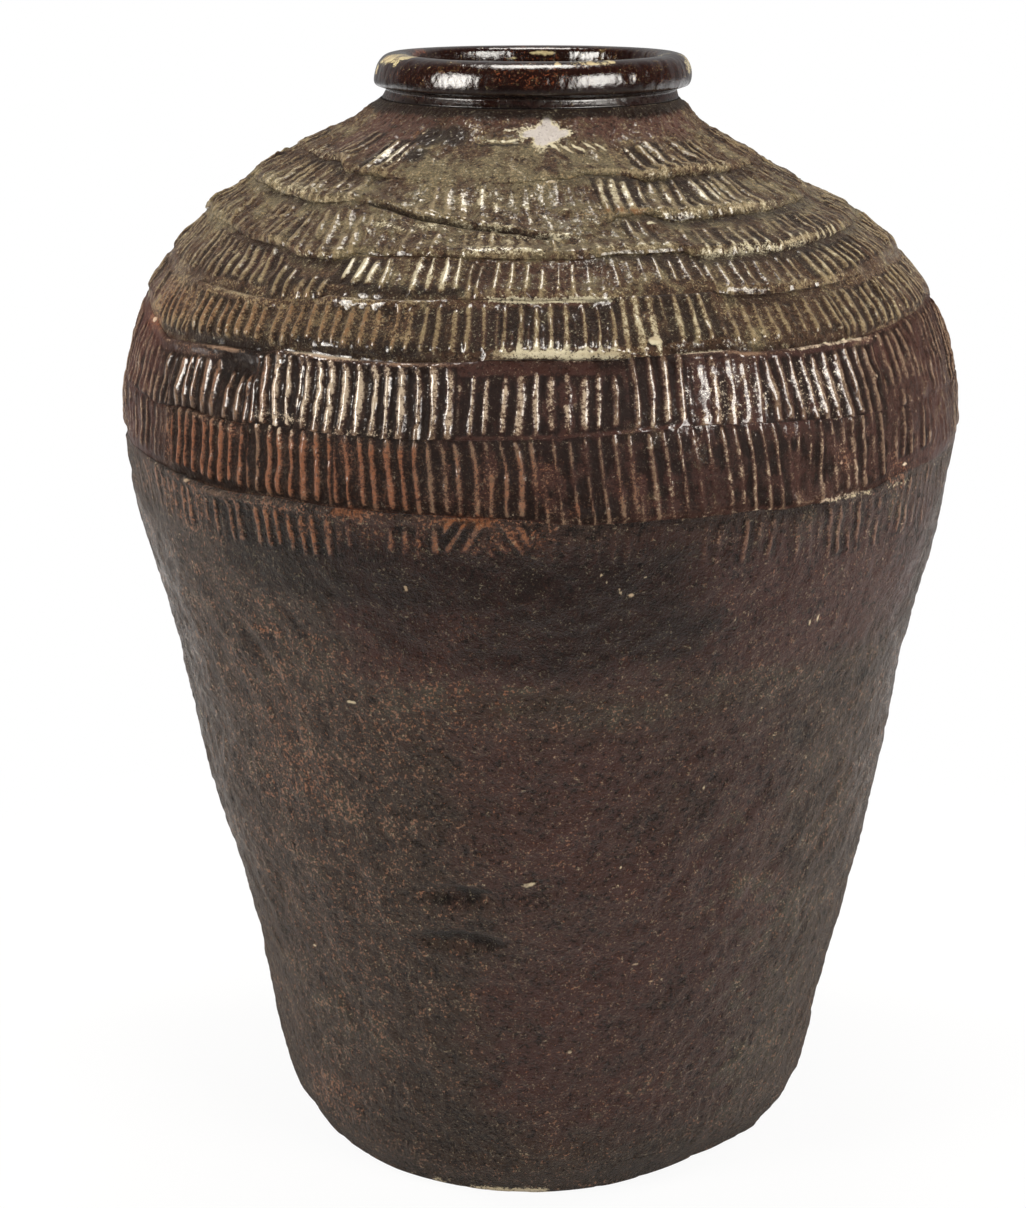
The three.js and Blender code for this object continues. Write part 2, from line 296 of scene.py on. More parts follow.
# The ribs left by a carved paddle, stroke by stroke.
# Each stroke: the angle where it starts, lean to the right at the top, relief, half width of a rib as a share of
# the spacing, and how far the ribs stop short of the foot and of the top of their ring
ribs = {
    "wallRing5": {"count": 195, "strokes": [
        (-80, 0, .4, .24, 36, 1), (-62, 0, .6, .24, 36, 1.5), (-45, -5, .75, .24, 35, 2),
        (-39.5, -6, .8, .22, 36, 3), (-26, 2, .5, .2, 40, 4), (-12, 36, .5, .24, 41, 0),
        (-6.5, -36, .5, .24, 41, 0), (-1, 3, .25, .2, 38, 2), (20, 5, .5, .22, 34, 2),
        (33, 2, .55, .22, 30, 1.5), (50, 0, .5, .22, 32, 1), (64, 0, .3, .26, 36, 1)]},
    "bellyRing1": {"count": 195, "strokes": [
        (-80, 4, .45, .22, 2, 0), (-68, 6, .5, .21, 2, -1), (-55.5, 3, 1, .22, 3, -1),
        (-39.6, -1, 1.05, .23, .5, -2), (-26, -5, 1, .22, 0, -1.5), (-14, -5, .8, .17, 0, -1),
        (0, -7, .65, .15, 0, -1), (12, -6, .6, .15, 1, -1), (32.5, 0, .5, .17, 8, -1),
        (38, -5, .75, .2, 2, -1), (50, 0, .5, .26, 6, -1), (64, -4, .4, .26, 4, -1)]},
    "bellyRing2": {"count": 184, "strokes": [
        (-80, 4, .6, .26, -1, 4), (-68, 6, .8, .25, -1, 4), (-57, -1, 1.15, .26, -1, 4),
        (-45.4, 3, .95, .24, -1, 9), (-39.4, -3, 1.15, .29, -1, 0), (-31.2, -1, 1.25, .31, -1.5, 1),
        (-10.2, 2, .95, .23, 1, 4.5), (10.8, 0, .95, .23, 1, -3), (18.6, 0, .6, .28, -1, 0),
        (29, -8, 1.1, .27, -1, 2), (50, -6, .6, .26, -1, 0), (62, -4, .5, .26, 0, 0)]},
    "shoulderRing1": {"count": 177, "strokes": [
        (-80, -8, .6, .26, 2, 2), (-70, -12, .75, .27, 2, 2), (-57, -8, 1.2, .26, 3, 2),
        (-39, -8, .9, .23, 1, 0), (-35, -3, 1.15, .2, 3.5, 2), (-20.5, -1, .9, .2, 3, 2),
        (-5, 2, 1.05, .17, 3.5, 1), (10.8, 1, 1, .27, 3, -1), (17, 3, 1.05, .22, 4, -1),
        (25.6, 3, .75, .2, 3, 2), (36, 2, .85, .22, 3, 2), (45, -2, 1, .25, 1, 2), (58, -8, .8, .26, 0, 2)],
        "between": (-5, 10.8, .55)},
    "shoulderRing2": {"count": 160, "strokes": [
        (-80, -10, .6, .27, 2, 2), (-68, -20, .75, .27, 2, 1.5), (-55, -12, .9, .27, 3, 1),
        (-42.5, -4, .8, .25, -1, 3), (-38, 0, .9, .25, -1, 6), (-31.5, 0, 1.25, .26, 3.5, 0),
        (-21.5, 0, .4, .2, 3, 0), (-19.5, 1, 1.2, .27, 1.5, 0), (-9, 6, .7, .17, 1.5, 1),
        (10, 2, .6, .18, 3, 1), (26, 5, .75, .18, 3, 1), (44, -3, 1.05, .25, 2, 1), (62, -8, .6, .26, 2, 1)]},
    "shoulderRing3": {"count": 144, "strokes": [
        (-80, 0, .5, .27, 2, 2), (-64, 6, .6, .28, 2, 2), (-44, -6, .7, .26, 1, 2), (-28, 12, .4, .22, 1, 3),
        (-11, 4, .85, .26, 4, 1), (0, 4, .45, .2, 2, 1), (10, 4, .6, .22, 2, 1), (26.5, 16, .6, .2, -.5, 3),
        (46, 28, .85, .2, -.5, 2), (60, 22, .5, .24, 0, 2)]},
    "shoulderRing4": {"count": 120, "strokes": [
        (-80, -6, .5, .3, 3, 1), (-64, -6, .7, .3, 3, .5), (-45, -1, .65, .28, 3, 1),
        (-33, 0, .3, .24, 3, 2), (-21, -5, .55, .3, 2, 1), (-8.5, -2, .5, .3, 1.5, 1),
        (4.1, 2, .4, .24, 2, 1), (16, 9, 1.1, .3, 1, .5), (25, 14, .75, .26, 2, 0), (37, 5, 1.1, .3, 2, 1),
        (46, 6, .8, .26, 2, 1), (56, 14, .5, .28, 2, 1)]},
    "crown": {"count": 98, "strokes": [
        (-80, 0, .3, .28, 1, 14), (-62, 4, .6, .3, 2, 10), (-47, 0, .3, .3, 2, 13),
        (-42, -2, 1.15, .3, 1.5, 12), (-31, 3, .22, .3, 1, 13), (-8, -2, .35, .3, .5, 9),
        (17, -6, .3, .3, 1, 14), (29, -6, .85, .26, 1.5, 14), (60, -6, .35, .26, 1.5, 16.5)]},
}
ribChance = {
    "bow": .1, "wander": .1, "place": .09,  # of a rib's place, in spacings
    "half": (.22, .28), "widest": .35,  # share of the half width from rib to rib and along a rib, and its greatest
    "relief": .3, "rough": (.28, .42),  # the same for the relief, with coarse and fine noise
}
backStroke = {"from": 76, "to": 268, "width": (11, 21), "lean": 11, "relief": (.5, 1.15), "half": (.18, .28),
              "faint": .6}  # times the relief on the wall and the crown


def strokesOf(name):
    # the front's strokes, then random ones of the same make as far as the front again
    spec = ribs[name]
    draw = np.random.default_rng(80 + list(ribs).index(name))
    rows = [list(stroke) for stroke in spec["strokes"]]
    foot, top = np.median([row[4] for row in rows]), np.median([row[5] for row in rows])
    at = backStroke["from"]
    while at < backStroke["to"]:
        rows.append([at, draw.uniform(-1, 1) * backStroke["lean"], draw.uniform(*backStroke["relief"]),
                     draw.uniform(*backStroke["half"]), foot + draw.uniform(-1, 1.5), top + draw.uniform(-1, 1.5)])
        at += draw.uniform(*backStroke["width"])
    return np.array(rows), draw


def ribField(name, angle, z, foot, top, lap):
    # height of the ribs, 0 to 1, their relief, how far a place is down in a groove, and how far up on a crest.
    # Across a rib the height is exp(-(f / half)^2.5), with f the distance from its crest in spacings; each end
    # fades over 2 mm, and above a lap the grooves run out in a round end
    strokes, draw = strokesOf(name)
    count = ribs[name]["count"]
    turned = (angle + 80) % 360 - 80
    which = np.searchsorted(strokes[:, 0], turned, side="right") - 1
    start, lean, relief, half, footGap, topGap = np.moveaxis(strokes[which], -1, 0)
    if name in ("wallRing5", "crown"):
        relief = relief * np.where(turned > backStroke["from"], backStroke["faint"], 1)
    draws = 997  # sets of random numbers, dealt out to the strokes and ribs
    luck = draw.uniform(-1, 1, (draws, 5))
    radius, stretch = radiusAt(z), stretchAt(z)
    along = (z - (foot + top) / 2) * stretch
    bow = ribChance["bow"] * luck[which * 7 % draws, 0] * (along / 12) ** 2
    shift = np.degrees(np.tan(np.radians(lean)) * along / radius)
    phase = luck[which * 11 % draws, 1] * .5
    u = (turned - shift) * count / 360 + phase + bow + ribChance["wander"] * cloud(angle, z, 120, 14, 33)
    rib = np.round(u)
    own = luck[(rib + 41 * which).astype(int) % draws]
    f = np.abs(u + ribChance["place"] * own[..., 0] - rib)
    ribwise, onward = ribChance["half"]
    half = half * (1 + ribwise * own[..., 1] + onward * cloud(angle, z, 300, 5, 34))
    half = np.minimum(half, ribChance["widest"])
    crest = np.exp(-(f / half) ** 2.5)
    if "between" in ribs[name]:  # a thin ridge in each groove too
        left, right, share = ribs[name]["between"]
        twin = share * np.exp(-(np.abs(.5 - f) / .08) ** 2.5)
        crest = np.where((turned > left) & (turned < right), np.maximum(crest, twin), crest)
    topEnd = smooth((top - topGap + own[..., 2] - z) * stretch - 1.2 * (f / half) ** 2, 0, 2.4)
    lapped = smooth(lap, -.2, .6)
    footEnd = smooth((z - foot - footGap + own[..., 3]) * stretch, 0, 2.2)
    fill = smooth((foot + footGap + .7 * own[..., 3] - z) * stretch + 2.2 * np.exp(-(f / .28) ** 2), 0, 1.5)
    ridge = crest * topEnd * np.where(lapped > .5, 1, footEnd)
    height = np.maximum(ridge, fill * lapped)
    edges = np.append(strokes[:, 0], 280)  # where the turn ends
    edge = np.minimum(turned - start, edges[which + 1] - turned) * radius * math.pi / 180
    height = height * (.3 + .7 * smooth(edge, 0, 2))
    ridge = np.maximum(ridge, .6 * fill * lapped) * smooth(edge, -.5, 1.5)
    coarse, fine = ribChance["rough"]
    rough = (1 + coarse * cloud(angle, z, 50, 12, 35)) * (1 + fine * cloud(angle, z, 260, 4.5, 36))
    relief = np.maximum(relief * (1 + ribChance["relief"] * own[..., 4]) * rough, 0)
    band = smooth((top - topGap - z) * stretch, 0, 2) * smooth((z - foot - footGap) * stretch, -1, 1.5)
    groove = (1 - height) * band * smooth(relief, .15, .9)
    return height, relief, groove, ridge * smooth(relief, .1, .75)


flecks = [
    # light chips and drips, and inside the mouth a painted reflection: angle, height, half width, half height and,
    # for some, turn
    (-27.7, 244.8, 3, .9), (38.6, 277, .8, 2.2), (40, 278.5, .8, 2.6, -10), (26, 285, .9, .9),
    (-17, 301, 1.2, 2, 10), (10, 301, .7, 2.6, 25), (11.4, 299, 1.6, 1.1), (8.2, 306, 1, .8),
    (7.6, 308.5, .5, 1.3), (13, 307, .8, 1), (-2.5, 165, 4, 1.1, 8), (4, 79, 1.5, 1.2), (15, 123, 2.2, .9),
    (18, 113.5, 1.8, .8, 20), (12, 172, .6, .6), (-68.7, 392.4, 3, 1.6), (40.8, 346, 1.2, 1.2),
    (54, 338.6, 3, 1), (-38.8, 165, 1, .9), (-10.5, 222, .8, .8), (33, 240, .9, 1.3), (-22, 96, .8, 1.2),
    (-47.5, 112, 1.5, .8, 30), (24.5, 207, .8, 1.8, -15), (8.9, 445.8, 2, 1), (23.4, 441.4, 2.4, 1),
    (5, 437.5, 2.6, 1), (-35.7, 449.5, 2.6, .8), (15.2, 400.5, 3.6, 2.4), (40.5, 393.6, 2.2, 1.2),
    (44.2, 393.8, 2, 1.2), (48.6, 378, 1.4, 1.2), (-33, 473, 1, 1), (-51.5, 332.5, 2.2, .8),
    (-72, 501.5, 9, 2.2), (-60, 502.4, 6, 1), (-80, 496, 3, 3), (9, 501.8, 2, 1), (22, 502, 3, .9),
    (31, 502.2, 2.4, .8), (78, 497, 1.5, 4), (84, 500.5, 3, 2.5), (8.8, 468, 1.3, 5, 40),
    (12.4, 467.8, 1.3, 5, 38), (16, 468, 1.3, 4.6, 42), (19.4, 468.2, 1.2, 4.6, 38),
    # the two at 176 and 190 degrees, on the mouth's back wall, are a painted reflection
    (22.6, 468.4, 1.1, 4.2, 42), (176, 498.8, 10, 1.2), (190, 497, 5, .8), (7.7, 456.6, 2.6, 1.1, -8),
    (-5.5, 460.5, .6, .6), (17, 462.5, .6, .6), (-16, 465, .6, .5), (30, 465, .6, .6), (-23, 452, .7, .5),
    (3, 452.5, .7, .9), (150, 222, 3, .9), (-132, 305, 1.4, 2), (172, 91, 2.4, .9, 10), (118, 345, 1.4, 1.4),
    (-155, 404, 3, 1.8),
]


def fleckAt(angle, z):
    # exp(-d^4) round each of the light chips and round the painted reflection inside the mouth, with d the distance
    # from its middle in half sizes
    most = np.zeros(angle.shape)
    wall = radiusAt(z), stretchAt(z)
    for spot in flecks:
        if z.min() - 5 < spot[1] < z.max() + 5:
            most = np.maximum(most, np.exp(-spotAt(angle, z, wall, *spot) ** 2))
    return most


# Where the slips and glazes lie: patches by angle, angle, height, height, strength. Silt fills the grooves, shine is
# wet gloss, and froth is the whitish glaze, and on the crown and along the joints' lips a painted highlight.
washes = {
    "rust": [
        (-46, -35, 270.5, 272.5, 1), (-44, -37, 275.5, 277, .9), (-9, 17, 270, 271.2, .8),
        (2, 24, 273.6, 274.6, .8), (-49, -44, 186, 189, .8), (-50, -46, 196, 199, .8),
        (-57, -38, 333, 362, .8), (-38, -13, 333, 362, .8), (-13, 3, 334, 360, .55), (3, 14, 333, 347, .3),
        (-60, -40, 312, 332, .5), (-40, -25, 313, 331, .8), (-27, -20, 328, 334, 1), (-25, 0, 316, 326, .55),
        (-14, -4, 327, 334, 1), (-7, 2, 316, 332, .7), (-56, -42, 364, 388, .5), (-42, -34, 357, 391, .55),
        (-72, -64, 388, 396, .9), (-58, -44, 386, 390, .5), (-40, -16, 395, 415, .62),
        (-72, -38, 395, 412, .7), (-37, -32, 471, 475, .9), (10, 25, 444.8, 446, .8), (12, 28, 457.5, 459, .6),
        (40, 44, 342, 352, .6), (3, 7, 333, 341, .8), (9, 12, 337, 352, .5), (50, 55, 330, 343, .6),
        (-50, -30, 190, 220, .4), (-62, -5, 100, 310, .22), (-60, -42, 15, 45, .5),
        (-78, -60, 499.5, 503.6, 1), (-8, 1, 500, 503, .6), (14, 24, 500.5, 503, .5),
        (-16, 14, 493, 500.5, .6), (-40, -20, 485, 502, .15)],
    # pale crests and strips; along the joints' lips and shelves, on the bellies' ribs and on the crown's splash they
    # are partly a painted highlight
    "pale": [
        (13, 46, 335, 362, .55), (-38, -30, 357, 391, .95), (-32, -15, 366, 391, 1), (-17, 10, 366, 391, .75),
        (10.5, 19, 366, 396, .6), (18.5, 29, 369, 393, .6), (29, 50, 370, 392, .5), (50, 62, 372, 392, .25),
        (-57, -46, 366, 388, .3), (-5, 11, 394, 400, 1.2), (17, 26, 394.5, 397, 1), (-35, -23, 391, 394, 1),
        (26, 40, 392.5, 395.5, .7), (40, 46, 393, 396, .9), (-60, -38, 396, 410, .4), (-5, 11, 399, 414, .5),
        (11, 17, 398, 417, .7), (17, 25.5, 399, 416, .65), (25, 46, 398, 414, .22), (45, 66, 398, 414, .45),
        (-21, -5, 397, 414, .3), (-35, -21, 397, 414, .25), (13.5, 17, 395, 402, .9), (-31, -20, 413, 415, .6),
        (-6, 11, 415.2, 417.3, 1), (-70, -43, 417, 430, .4), (-31.5, -22, 420, 431, 1.1),
        (-20, -9, 418, 431, .9), (-9, 10, 418, 431, .5), (44, 64, 418, 430, .5), (26, 44, 419, 430, .35),
        (-40, -32, 426, 428.5, .8), (8, 26, 433, 435.5, .8), (26, 62, 430, 433.5, .9), (-12, 0, 434, 441, .6),
        (26, 60, 433, 437, .3), (-66, -45, 436, 443, .25), (0, 26, 436, 443, .25),
        (-75, -45, 448.5, 452.5, .7), (-45, -28, 446, 451, .6), (26, 70, 442.5, 445, .6),
        (-12, 5, 445, 455, .8), (16, 26, 447, 458, .9), (28, 37, 445, 453, .45), (37, 45, 446, 455, .8),
        (45, 60, 446, 455, .35), (-66, -45, 451, 461, .45), (-45, -33, 449, 457, .45),
        (-75, -50, 462, 464.5, .6), (28, 70, 457, 459.5, .6), (5, 11, 455.8, 457.5, .9),
        (-42, -30, 461, 467, 1), (2, 10, 471, 477.5, .8), (-12, 0, 470.8, 471.8, .9), (30, 60, 459, 466, .28),
        (8, 24, 469, 472, .6), (-53, -50, 331, 334, .8), (41, 47, 330, 333, .9), (16, 30, 331, 333, .7),
        (-78, -62, 500, 503.6, .35)],
    "ash": [
        (-190, 190, 428, 458, .9), (-190, -62, 455, 476, .5), (-46, -30, 455, 463, .8),
        (-30, -12, 452, 469, .9), (-14, 26, 452, 475, 1), (24, 60, 452, 470, .6), (60, 190, 455, 476, .6),
        (-190, 190, 417, 430, .7), (-190, -60, 396, 418, .3), (-36, -12, 396, 418, .35),
        (-12, 12, 398, 416, .3), (12, 26, 396, 418, .4), (26, 62, 396, 418, .4), (62, 190, 396, 418, .4),
        (-100, -60, 363, 396, .15), (50, 100, 340, 396, .25), (-60, -25, 240, 318, .5), (-32, 5, 240, 262, .5),
        (16, 60, 312, 330, .5), (-60, -20, 110, 240, .35), (0, 40, 240, 262, .4), (-20, -6, 130, 160, .4),
        (20, 60, 150, 250, .35), (-60, -30, 50, 110, .4), (30, 64, 30, 150, .6)],
    "wine": [
        (-12, 70, 333, 396, .55), (-10, 12, 396, 432, .6), (-30, 70, 256, 330, .95), (-16, 44, 30, 245, .7),
        (60, 100, 396, 410, .4), (-64, -30, 464, 482, .9), (-30, 10, 475, 482, .6), (14, 70, 470, 482, .9),
        (-60, -38, 418, 430, .8), (-90, -60, 330, 410, .6)],
    "black": [
        # (-66, -47, 389, 398), (-52, -38, 388, 396), (-36, -14, 393.5, 398), (-34, -30, 395, 399) and (-30, -8, 416,
        # 421) are painted shade on the feet tucked in above the lower rings' shelves
        (-50, -20, 288, 330, .7), (-66, -47, 389, 398, .7), (-47, -39, 377, 391, 1), (-56, -39, 333, 338, .9),
        (-31, -25, 462, 467, 1), (-35, -25, 467.5, 474, .95), (33, 38, 333, 346, .6), (12, 33, 334, 362, .5),
        (-52, -38, 388, 396, .9), (-36, -14, 393.5, 398, .7), (-34, -30, 395, 399, .9),
        (-58, -39, 364, 391, .35), (-57, 2, 333, 362, .38), (-40, -15, 396, 414, .35), (-30, -8, 416, 421, .7),
        (-15, 0, 469, 470, .9), (-34, -17, 468.5, 476, .85), (-10, 2, 472.5, 473.6, .6),
        (-190, 190, 478.5, 484.5, .9), (-190, 190, 485, 493, .7), (-44, 25, 282, 328, .7),
        # (-21, -9, 130, 138), (-19, -10, 154, 160) and, on the next line, (-58, -50, 128, 142) are painted shade in
        # the finger dents
        (-18, 28, 262, 300, .68), (-21, -9, 130, 138, .75), (-19, -10, 154, 160, .75),
        (-24, -12, 262, 300, .6), (-58, -50, 128, 142, .4), (-50, -24, 471, 482, .45), (26, 60, 476, 484, .4)],
    "silt": [
        (-36, 14, 432, 459, .75), (-25, 14, 417, 432, .5), (26, 44, 398, 431, .5), (-9, 12, 414, 431, .4),
        (-70, -36, 432, 459, .3), (-44, -21, 398, 414, .35)],
    "shine": [
        (-190, 190, 489, 504, 1), (-190, 190, 482, 489, .3), (-23, -12, 482, 489, .9), (12, 25, 482, 489, .8),
        (-44, -32, 459, 467, .8), (-60, -45, 362, 396, .65), (-45, -13, 362, 396, .75),
        (-16, -6, 362, 396, .55), (10, 46, 362, 396, .56), (-30, -8, 336, 356, .5), (-12, 12, 362, 396, .4),
        (-36, 12, 390, 418, .75), (12, 27, 399, 418, .6), (-190, 190, 396, 458, .5),
        (-190, 190, 458, 482, .42), (-190, 190, 318, 396, .2), (-100, -54, 100, 310, .55),
        (52, 100, 120, 330, .5)],
    "frothAndHighlight": [
        (-80, -58, 498.5, 503, .75), (74, 90, 494, 502, .7), (14, 30, 501.5, 503.2, .6),
        # the crown's splash and the short lines beside it are a painted highlight
        (2.4, 10, 469.6, 477, 1.9), (-1.5, 14, 471.8, 475, 1.6), (4.4, 7.8, 468, 480.5, 1.7),
        (-13, 1, 470.5, 471.5, .8), (-8, 3, 474.5, 476, .7), (-40, -28, 363.5, 369, .5),
        (-28, -16, 363, 367, .4), (-47, -40, 357, 362, .35), (18, 30, 368, 392, .35), (33, 42, 366, 391, .35),
        # the narrow patches along the joints' lips are a painted highlight
        (-5, 10.8, 394.3, 397.2, .95), (17, 26, 395, 396.6, .8), (-35, -23, 391.5, 393.6, .9),
        (-31, -21, 413.2, 414.4, .6), (-7, 11, 415.6, 417.2, .9), (26, 52, 429, 431.5, .6),
        (-40, -31, 460, 466, .5), (34, 50, 392.6, 394.6, .7), (50, 56, 330, 333, .5), (36, 48, 330, 332.5, .6),
        (-30, 0, 440, 442.6, .5), (-12, 2, 431, 434, .6), (-2, 9, 437.5, 439.5, .7), (-62, -46, 447, 450, .4),
        (-72, -52, 461.5, 464, .4), (28, 60, 456.8, 458.8, .35), (26, 60, 442.4, 444.6, .4)],
}


def washAt(name, angle, z):
    # the greatest of the patches there, each the product of two soft edges across and two up, frayed by noise;
    # behind, the front's patches come mirrored, but for the froth
    folded = np.where(np.abs(angle) > 90, np.sign(angle) * 180 - angle, angle)
    loose = 4 - 3 * smooth(z, 290, 330)  # more on the matt wall
    frayA = loose * (cloud(angle, z, 70, 11, 21) + .5 * cloud(angle, z, 190, 5, 22))
    frayZ = loose * (1.3 * cloud(angle, z, 44, 11, 23) + .6 * cloud(angle, z, 160, 5, 24))
    most = np.zeros(angle.shape)
    for left, right, low, high, strength in washes[name]:
        if high < z.min() - 6 or low > z.max() + 6:
            continue
        thin = min(1, (high - low) / 6)  # thin lines fray less
        a, h = folded + frayA * thin, z + frayZ * thin
        blurA, blurZ = (3, 6) if low > 300 else (9, 24)  # softer there too
        side, end = min(blurA, .3 * (right - left)), min(blurZ, .35 * (high - low))
        across = within(a, left - side, right + side, 2 * side, 2 * side)
        most = np.maximum(most, strength * across * within(h, low - end, high + end, 2 * end, 2 * end))
    return most * (np.abs(angle) < 95) if name == "frothAndHighlight" else most


def addObject(name, data):
    thing = bpy.data.objects.new(name, data)
    bpy.context.collection.objects.link(thing)
    return thing


def addMesh(name, points, quads, corners, fields, finish, node, capped=False):
    # one closed surface from a grid of points; corners are the rows whose edges stay sharp, and a fan of triangles
    # shuts the hole inside the first and the last row where they are capped
    rows, columns = points.shape[:2]
    flat = points.reshape(-1, 3)
    fields = {key: np.ravel(np.broadcast_to(values, (rows, columns))) for key, values in fields.items()}
    a, b, c = flat[quads[:, 0]], flat[quads[:, 1]], flat[quads[:, 2]]
    inward = (np.cross(b - a, c - a) * a).sum() < 0
    faces = quads.tolist()
    if capped:
        around = np.arange(columns)
        after = (around + 1) % columns
        last = (rows - 1) * columns
        faces += np.stack([after, around, 0 * around + len(flat)], -1).tolist()
        faces += np.stack([last + around, last + after, 0 * around + len(flat) + 1], -1).tolist()
        flat = np.vstack([flat, points[0].mean(0), points[-1].mean(0)])
        fields = {key: np.append(values, values[[0, last]]) for key, values in fields.items()}
    if inward:
        faces = [face[::-1] for face in faces]
    mesh = bpy.data.meshes.new(name)
    mesh.from_pydata(flat, [], faces)
    mesh.shade_smooth()
    ends = np.zeros(len(mesh.edges) * 2, np.int32)
    mesh.edges.foreach_get("vertices", ends)
    row = ends.reshape(-1, 2) // columns
    sharp = (row[:, 0] == row[:, 1]) & np.isin(row[:, 0], corners)
    mesh.attributes.new("sharp_edge", "BOOLEAN", "EDGE").data.foreach_set("value", sharp)
    for key, values in fields.items():
        mesh.attributes.new(key, "FLOAT", "POINT").data.foreach_set("value", values.astype(np.float32))
    mesh.materials.append(finish)
    piece = addObject(name, mesh)
    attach(piece, "root")
    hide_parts(node)


def anglesRound(columns):
    return np.linspace(-180, 180, columns, endpoint=False)


def loopQuads(rows, columns, closed=True):
    # four-sided faces between each row and the next, round every column; the last row meets the first
    r = np.arange(rows if closed else rows - 1)[:, None]
    c = np.arange(columns)[None, :]
    below, above = r * columns, (r + 1) % rows * columns
    after = (c + 1) % columns
    return np.stack([below + c, below + after, above + after, above + c], -1).reshape(-1, 4)


def paintFields(angle, z, outer, crest=0, groove=0, nookShade=0, edge=0):
    # every wash over the whole grid, the ribs' crests, the grooves between them, the painted shade of the nooks, the
    # painted highlight on the lips' edges, the chips with the painted reflection inside the mouth, and streaks that
    # run down the wall but round the shoulder
    fields = {name: washAt(name, angle, z) for name in washes}
    fields["crest"], fields["groove"], fields["nookShade"] = crest, groove * (1 - fields.pop("silt")), nookShade
    down = .6 * cloud(angle, z, 330, 15, 44) + .5 * cloud(angle, z, 140, 24, 45)
    level = .7 * cloud(angle, z, 13, 6, 46) + .5 * cloud(angle, z, 30, 2.8, 47)
    fields["streak"] = level + (down - level) * smooth(z, 312, 330)
    # painted highlight on the laps' edges
    fields["edge"] = edge * (.55 + .45 * cloud(angle, z, 80, 9, 48))
    fields["fleck"] = fleckAt(angle, z)
    fields["inside"] = 1 - outer
    return fields


rings = {
    # lowest first: columns round, spacing of the rows, node, slot
    "heelRing": (1536, 1.5, "heel_ring", "slipped_clay"),
    **{f"wallRing{i}": (1536, 1.6, f"wall_ring_{i}", "slipped_clay") for i in range(1, 6)},
    "bellyRing1": (1536, 1, "belly_ring_1", "brown_glaze"),
    "bellyRing2": (1536, 1, "belly_ring_2", "brown_glaze"),
    "shoulderRing1": (1536, 1, "shoulder_ring_1", "ash_glaze"),
    "shoulderRing2": (1408, .9, "shoulder_ring_2", "ash_glaze"),
    "shoulderRing3": (1280, .9, "shoulder_ring_3", "ash_glaze"),
    "shoulderRing4": (1152, .9, "shoulder_ring_4", "ash_glaze"),
    "crown": (1024, .9, "shoulder_crown", "ash_glaze"),
}


